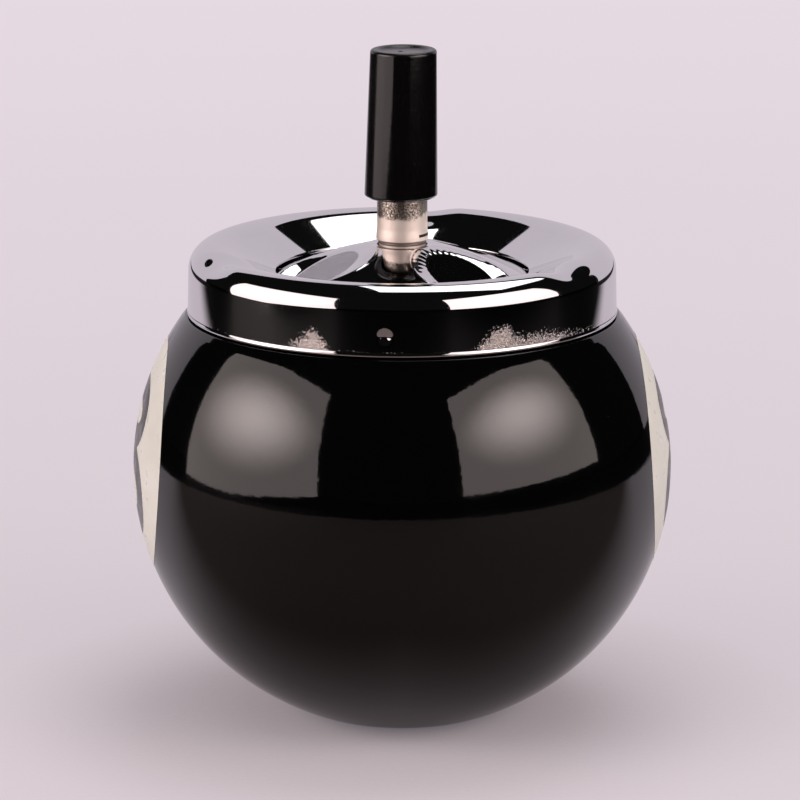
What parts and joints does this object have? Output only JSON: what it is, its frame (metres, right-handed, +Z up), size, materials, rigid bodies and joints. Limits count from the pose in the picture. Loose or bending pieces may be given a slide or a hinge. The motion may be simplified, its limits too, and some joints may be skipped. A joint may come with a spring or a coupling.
{
  "type": "push-down spinning ashtray",
  "caption": "Ball-shaped black bowl with a lift-off chromed rim, and a push knob that lowers and spins the tray inside the rim.",
  "frame": {"origin": "centre of the flat base, on the table", "axes": "+Z up along the spindle; the front, where the lid's dimple is a little to the left, is -Y; the two number discs of the ball face -X and +X"},
  "size_m": [0.11, 0.1098, 0.1371],
  "materials": {
    "black_enamel": "glossy black stoved enamel",
    "chrome": "bright plated",
    "black_plastic": "glossy moulded",
    "nickel": "satin warm nickel",
    "zinc": "dull zinc plated",
    "brass": "plain turned",
    "spring_steel": "plain drawn wire",
    "nylon": "natural, matte"
  },
  "bodies": {
    "bowl": {"ball_bowl": "black_enamel"},
    "lid": {"rim_ring": "chrome", "bridge_strap": "zinc", "nut_cage": "zinc", "cage_rivet_left": "zinc", "cage_rivet_right": "zinc", "drive_nut": "brass", "spring_seat": "zinc", "return_spring": "spring_steel"},
    "plunger": {"knob": "black_plastic", "knob_bush": "nylon", "thrust_washer": "brass"},
    "spinner": {"tray": "chrome", "sleeve": "nickel", "hub_washer": "zinc", "hub_nut": "zinc", "sleeve_plug": "zinc", "spindle": "zinc", "spindle_pin": "spring_steel", "spindle_clip": "zinc"}
  },
  "joints": [
    {"name": "lid_lift", "type": "slide", "parent": "bowl", "child": "lid", "axis": [0, 0, 1], "range_m": [0, 0.06]},
    {"name": "push", "type": "slide", "parent": "lid", "child": "plunger", "axis": [0, 0, -1], "range_m": [0, 0.02], "stiffness_N_per_m": 250, "springref_m": -0.02, "deforming": ["return_spring"]},
    {"name": "tray_spin", "type": "hinge", "parent": "plunger", "child": "spinner", "pos_m": [0, 0, 0.0973], "axis": [0, 0, 1], "range_deg": [0, 301]}
  ],
  "couplings": [
    {"joint": "tray_spin", "follows": "push", "rad_per_m": 261.8}
  ]
}
